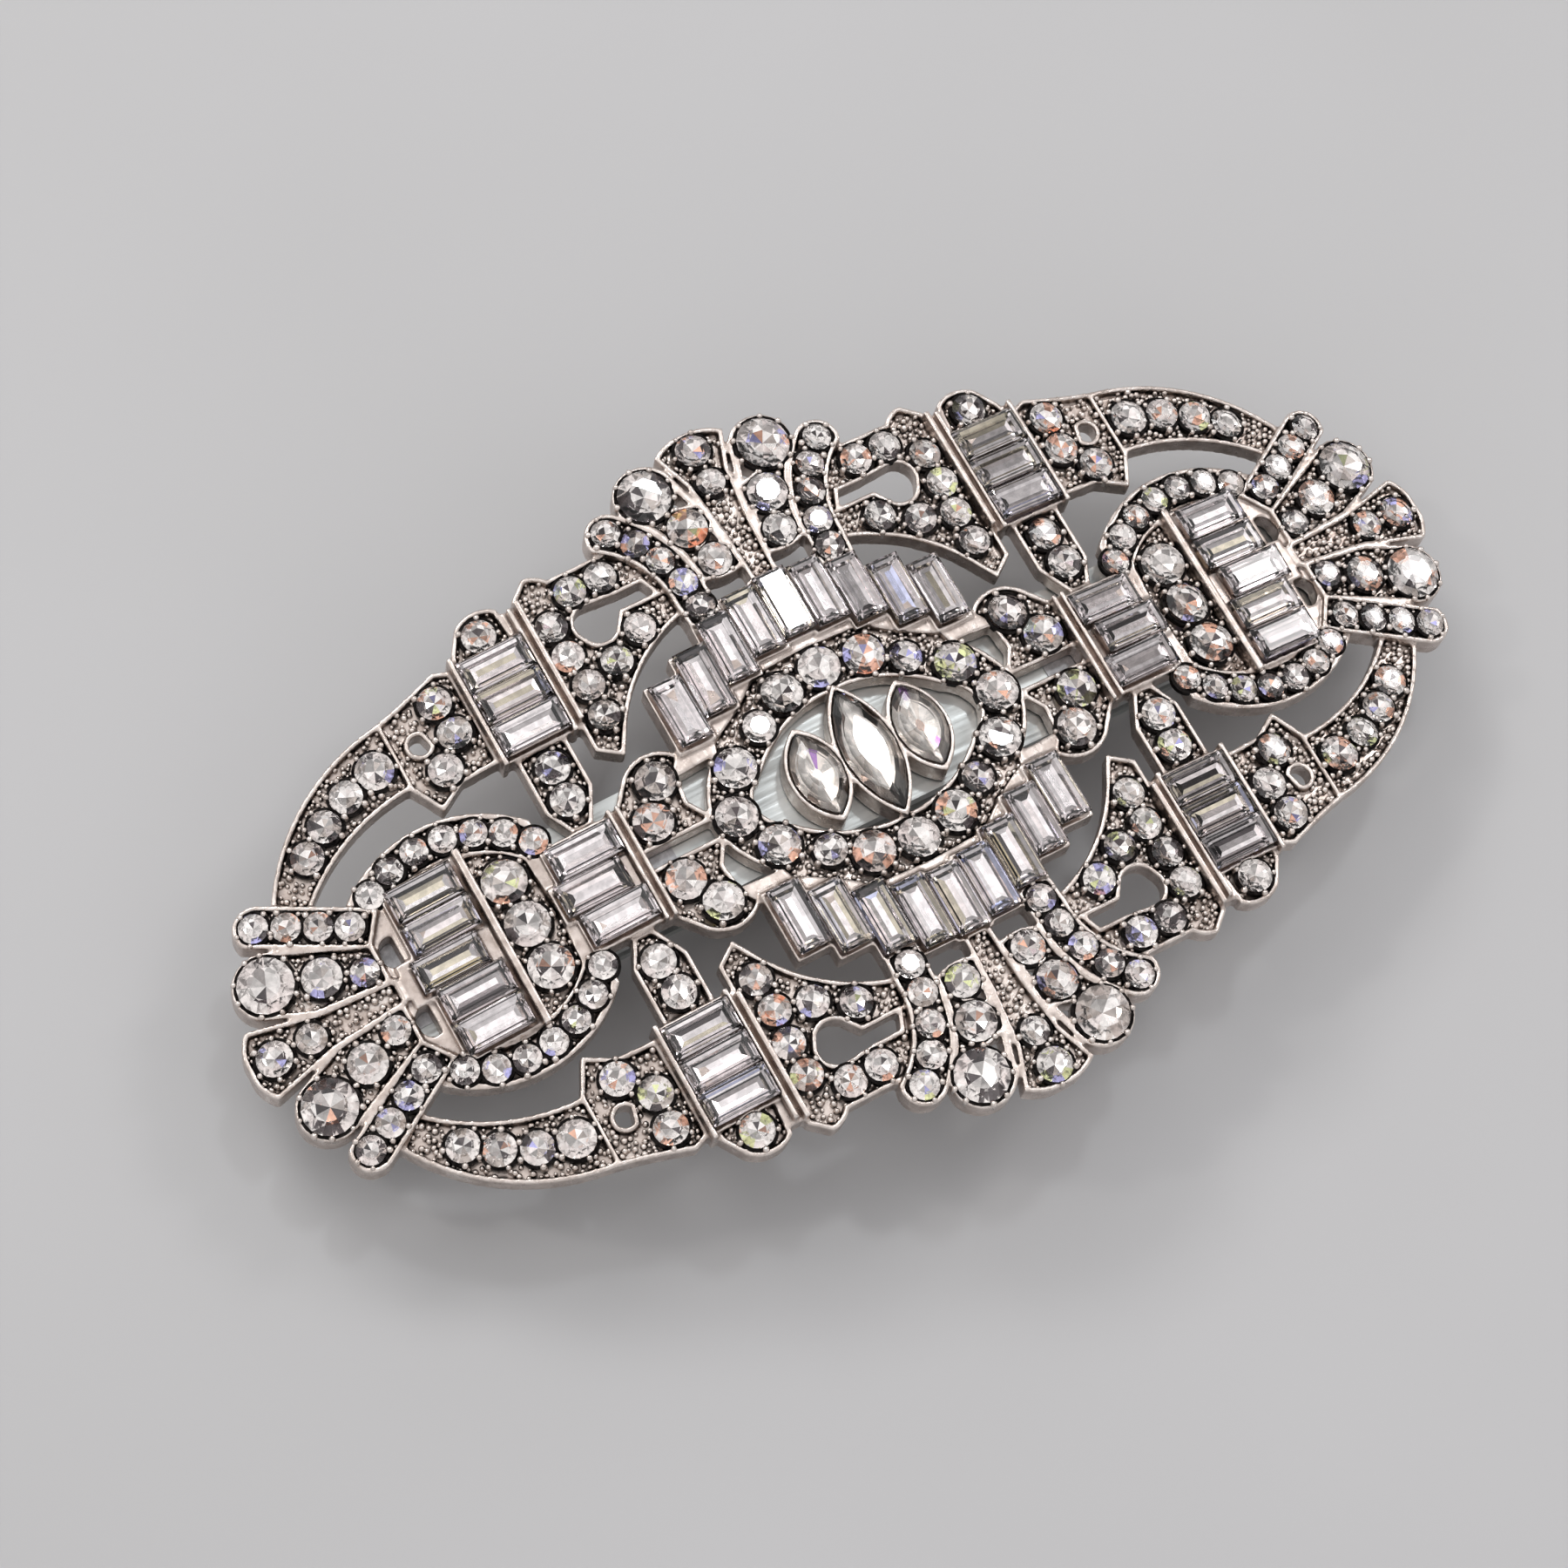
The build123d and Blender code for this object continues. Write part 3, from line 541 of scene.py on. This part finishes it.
GROUND_DEPTHS = (0.7 * MM, 0.35 * MM)  # the sunk grounds of the plate and of its fans
GROUND_TOLERANCE = 0.03 * MM
BEAD_PITCH = 0.54 * MM
BEAD_RADIUS = 0.23 * MM
BEAD_SCATTER = 0.1  # in mm
PRONG_RADIUS = 0.24 * MM
PRONG_HEIGHT = 0.7 * MM
PRONG_PITCH = 1.5 * MM  # spacing of the prongs round a stone
PRONG_GAP = 0.17 * MM  # from a stone's girdle to a prong's middle
NEIGHBOUR_GAP = 0.05 * MM  # least gap from a prong's middle to any stone
COLLAR_WALL = 0.23 * MM
COLLAR_DEPTH = 0.5 * MM
COLLAR_SIDES = 24
CAST_VOXEL = 0.12 * MM
CAST_SMOOTHING = 4  # passes
CAST_SHARE = 0.45  # share of the remeshed faces that is kept


def bead(work, centre, radius, height, sides=8):
    """A round-headed bead or prong, its foot sunk in the metal."""
    place = on_dome(centre)
    foot = ring(work, place, radius, -height, sides)
    waist = ring(work, place, radius, 0, sides)
    shoulder = ring(work, place, 0.72 * radius, 0.66 * radius, sides)
    crown = work.verts.new(place @ Vector((0, 0, 0.95 * radius)))
    work.faces.new(list(reversed(foot)))
    for n in range(sides):
        following = (n + 1) % sides
        work.faces.new([foot[n], foot[following], waist[following], waist[n]])
        work.faces.new([waist[n], waist[following], shoulder[following], shoulder[n]])
        work.faces.new([shoulder[n], shoulder[following], crown])


def collar(work, place, radius):
    """The thin cup a stone is pressed into, open above; near-black with painted shade."""
    outer = radius + COLLAR_WALL
    levels = ((radius + 0.01 * MM, -0.02 * MM), (outer, -0.06 * MM), (outer, -COLLAR_DEPTH))
    rings = [ring(work, place, reach, height, COLLAR_SIDES) for reach, height in levels]
    for upper, lower in zip(rings, rings[1:]):
        for n in range(COLLAR_SIDES):
            following = (n + 1) % COLLAR_SIDES
            work.faces.new([upper[n], lower[n], lower[following], upper[following]])


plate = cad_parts["filigree_plate"]
plate_tree = BVHTree.FromObject(plate, bpy.context.evaluated_depsgraph_get())
plate_low, plate_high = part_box("filigree_plate")
circle_tree = KDTree(len(stone_circles))
for number, (centre, radius) in enumerate(stone_circles):
    circle_tree.insert((centre.x, centre.y, 0), number)
circle_tree.balance()


def metal_level(x, y):
    """Height from the dome of the metal seen from above at a place, or None over an opening."""
    hit, _, _, _ = plate_tree.ray_cast(Vector((x, y, plate_high.z + MM)), Vector((0, 0, -1)))
    if hit is None:
        return None
    return hit.z - dome_z(x)


def stone_gap(x, y):
    """Distance from a place to the nearest stone's girdle in plan."""
    nearest = circle_tree.find_n((x, y, 0), 4)
    return min(distance - stone_circles[number][1] for _, number, distance in nearest)


def on_sunk_ground(level):
    """True on the sunk grounds, of the plate or of the fans."""
    if level is None:
        return False
    return any(abs(level + depth) < GROUND_TOLERANCE for depth in GROUND_DEPTHS)


granulation = bmesh.new()
row_step = BEAD_PITCH * math.sqrt(0.75)
rows = int((plate_high.y - plate_low.y) / row_step)
columns = int((plate_high.x - plate_low.x) / BEAD_PITCH)
for row in range(rows):
    for column in range(columns):
        x = plate_low.x + (column + 0.5 * (row % 2)) * BEAD_PITCH + rng.gauss(0, BEAD_SCATTER) * MM
        y = plate_low.y + row * row_step + rng.gauss(0, BEAD_SCATTER) * MM
        level = metal_level(x, y)
        radius = BEAD_RADIUS * rng.uniform(0.6, 1.25)
        if not on_sunk_ground(level) or stone_gap(x, y) < radius:
            continue
        rise = rng.uniform(0.1, 0.4) * MM
        bead(granulation, Vector((x, y, dome_z(x) + level + rise)), radius, rise + 0.1 * MM)
new_piece("granulation_beads", granulation, [SILVER], smooth=True)

prongs = bmesh.new()
collars = bmesh.new()
for centre, radius in stone_circles:
    collar(collars, on_dome(centre), radius)
    count = round(math.tau * radius / PRONG_PITCH)
    start = rng.uniform(0, math.tau)
    for n in range(count):
        angle = start + math.tau * (n + rng.uniform(-0.2, 0.2)) / count
        reach = radius + PRONG_GAP
        x = centre.x + reach * math.cos(angle)
        y = centre.y + reach * math.sin(angle)
        if metal_level(x, y) is None or stone_gap(x, y) < NEIGHBOUR_GAP:
            continue
        top = Vector((x, y, dome_z(x) + centre.z - dome_z(centre.x)))
        bead(prongs, top, PRONG_RADIUS * rng.uniform(0.8, 1.2), PRONG_HEIGHT)
new_piece("prongs", prongs, [SILVER], smooth=True)
# The collars are near-black: painted shade round each stone.
new_piece("seat_shade_collars", collars, [SEAT_SHADE])


def soft_casting():
    """A copy of the plate with its edges softened, as a casting's are."""
    casting = bpy.data.objects.new("filigree_casting", plate.data.copy())
    bpy.context.scene.collection.objects.link(casting)
    welded = bmesh.new()
    welded.from_mesh(casting.data)
    bmesh.ops.remove_doubles(welded, verts=welded.verts, dist=1e-8)
    welded.to_mesh(casting.data)
    welded.free()
    casting.data.materials.clear()
    casting.data.materials.append(SILVER)
    remesh = casting.modifiers.new("soften", "REMESH")
    remesh.mode = "VOXEL"
    remesh.voxel_size = CAST_VOXEL
    remesh.use_smooth_shade = True
    relax = casting.modifiers.new("relax", "SMOOTH")
    relax.factor = 0.5
    relax.iterations = CAST_SMOOTHING
    thin = casting.modifiers.new("thin", "DECIMATE")
    thin.ratio = CAST_SHARE
    graph = bpy.context.evaluated_depsgraph_get()
    solid = bpy.data.meshes.new_from_object(casting.evaluated_get(graph))
    casting.modifiers.clear()
    casting.data = solid
    solid.polygons.foreach_set("use_smooth", [True] * len(solid.polygons))
    return casting


casting = soft_casting()
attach(casting, PLATE_BODY)
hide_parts("filigree_plate")


# ---- The clip's own parts keep their CAD shapes ----

CLIP_FINISHES = {
    "base_strip": STEEL,
    "hinge_pin": STEEL,
    "bow_rivets": STEEL,
    "closing_arm": STEEL,
    "tension_bow": SPRING,
    "front_catch_leg": SPRING,
    "rear_catch_leg": SPRING,
    "catch_base": SPRING,
    "solder_pads": SOLDER,
}
for node, material in CLIP_FINISHES.items():
    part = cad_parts[node]
    part.data.materials.clear()
    part.data.materials.append(material)
    edge = part.modifiers.new("edge", "BEVEL")
    edge.width = 0.08 * MM
    edge.segments = 2
    edge.limit_method = "ANGLE"
    edge.angle_limit = math.radians(40)


# ---- Camera ----

CAMERA_PLACE = Vector((-82.84, -72.17, 273.91)) * MM
CAMERA_AIM = Vector((-6.76, 0.62, 13.0)) * MM
CAMERA_ROLL = math.radians(-18.2)  # the clip's long axis climbs to the right in the picture
LENS = 89.46

camera_data = bpy.data.cameras.new("camera")
camera_data.lens = LENS
camera_data.clip_start = 0.01
camera = bpy.data.objects.new("camera", camera_data)
bpy.context.scene.collection.objects.link(camera)
look = (CAMERA_AIM - CAMERA_PLACE).to_track_quat("-Z", "Y").to_matrix().to_4x4()
roll = Matrix.Rotation(-CAMERA_ROLL, 4, "Z")
camera.matrix_world = Matrix.Translation(CAMERA_PLACE) @ look @ roll
bpy.context.scene.camera = camera


# ---- Floor and light ----


def floor_finish():
    """Pale grey laminate with a faint cloudiness."""
    m = Nodes("pale_table")
    cloud = [(0.3, (0.48, 0.478, 0.482)), (0.7, (0.52, 0.518, 0.526))]
    m.colour(m.ramp(m.noise(9, 3, 0.5), cloud))
    m.set(Roughness=0.45, Specular_IOR_Level=0.3)
    m.bump(m.noise(60, 2, 0.5), 0.1, 0.2 * MM)
    return m.material


bpy.ops.mesh.primitive_plane_add(size=3.0, location=(0, 0, 0))
floor = bpy.context.active_object
floor.name = "table"
floor.data.materials.append(floor_finish())

PICTURE_RIGHT = Vector((0.872, -0.4895, 0))
PICTURE_UP = Vector((0.45, 0.893, 0))
# Each lamp: steps right and up in the picture and height, its size, power and colour.
LAMPS = {
    "window": ((-0.35, 0.5, 0.6), (0.3, 0.22), 1.6, (1.0, 0.99, 0.98)),
    "side_window": ((0.45, 0.35, 0.55), (0.16, 0.16), 0.7, (1.0, 0.97, 0.97)),
    "sparkle_left": ((-0.45, 0.05, 0.5), (0.05, 0.05), 0.3, (1.0, 0.97, 0.92)),
    "sparkle_top": ((0.1, 0.3, 0.7), (0.06, 0.06), 0.4, (0.93, 0.97, 1.0)),
}
for name, ((right, up, height), size, power, colour) in LAMPS.items():
    data = bpy.data.lights.new(name, "AREA")
    data.shape = "RECTANGLE"
    data.size, data.size_y = size
    data.energy = power
    data.color = colour
    light = bpy.data.objects.new(name, data)
    place = PICTURE_RIGHT * right + PICTURE_UP * up + Vector((0, 0, height))
    light.location = place
    light.rotation_euler = (-place).to_track_quat("-Z", "Y").to_euler()
    bpy.context.scene.collection.objects.link(light)

HORIZON = (0.6, 0.595, 0.6, 1)
DIM_PATCH = (0.26, 0.255, 0.255, 1)
BRIGHT_PATCH = (1.0, 0.99, 0.995, 1)


def studio_world():
    """Pale surroundings, plain near the horizon, with soft bright and dim patches overhead."""
    world = bpy.data.worlds.new("studio")
    bpy.context.scene.world = world
    world.use_nodes = True
    sky = world.node_tree
    background = sky.nodes["Background"]
    where = sky.nodes.new("ShaderNodeTexCoord")
    patches = sky.nodes.new("ShaderNodeTexNoise")
    patches.inputs["Scale"].default_value = 3.4
    patches.inputs["Detail"].default_value = 1.0
    bands = sky.nodes.new("ShaderNodeValToRGB")
    dim, bright = bands.color_ramp.elements
    dim.position, dim.color = 0.42, DIM_PATCH
    bright.position, bright.color = 0.58, BRIGHT_PATCH
    axes = sky.nodes.new("ShaderNodeSeparateXYZ")
    overhead = sky.nodes.new("ShaderNodeMapRange")
    overhead.inputs["From Min"].default_value = 0.12
    overhead.inputs["From Max"].default_value = 0.4
    mix = sky.nodes.new("ShaderNodeMix")
    mix.data_type = "RGBA"
    mix.inputs[MIX_A].default_value = HORIZON
    sky.links.new(where.outputs["Generated"], patches.inputs["Vector"])
    sky.links.new(where.outputs["Generated"], axes.inputs[0])
    sky.links.new(axes.outputs["Z"], overhead.inputs["Value"])
    sky.links.new(patches.outputs["Fac"], bands.inputs[0])
    sky.links.new(overhead.outputs[0], mix.inputs[MIX_FACTOR])
    sky.links.new(bands.outputs[0], mix.inputs[MIX_B])
    sky.links.new(mix.outputs[MIX_RESULT], background.inputs["Color"])
    background.inputs["Strength"].default_value = 1.2


studio_world()
bpy.context.scene.view_settings.view_transform = "Standard"
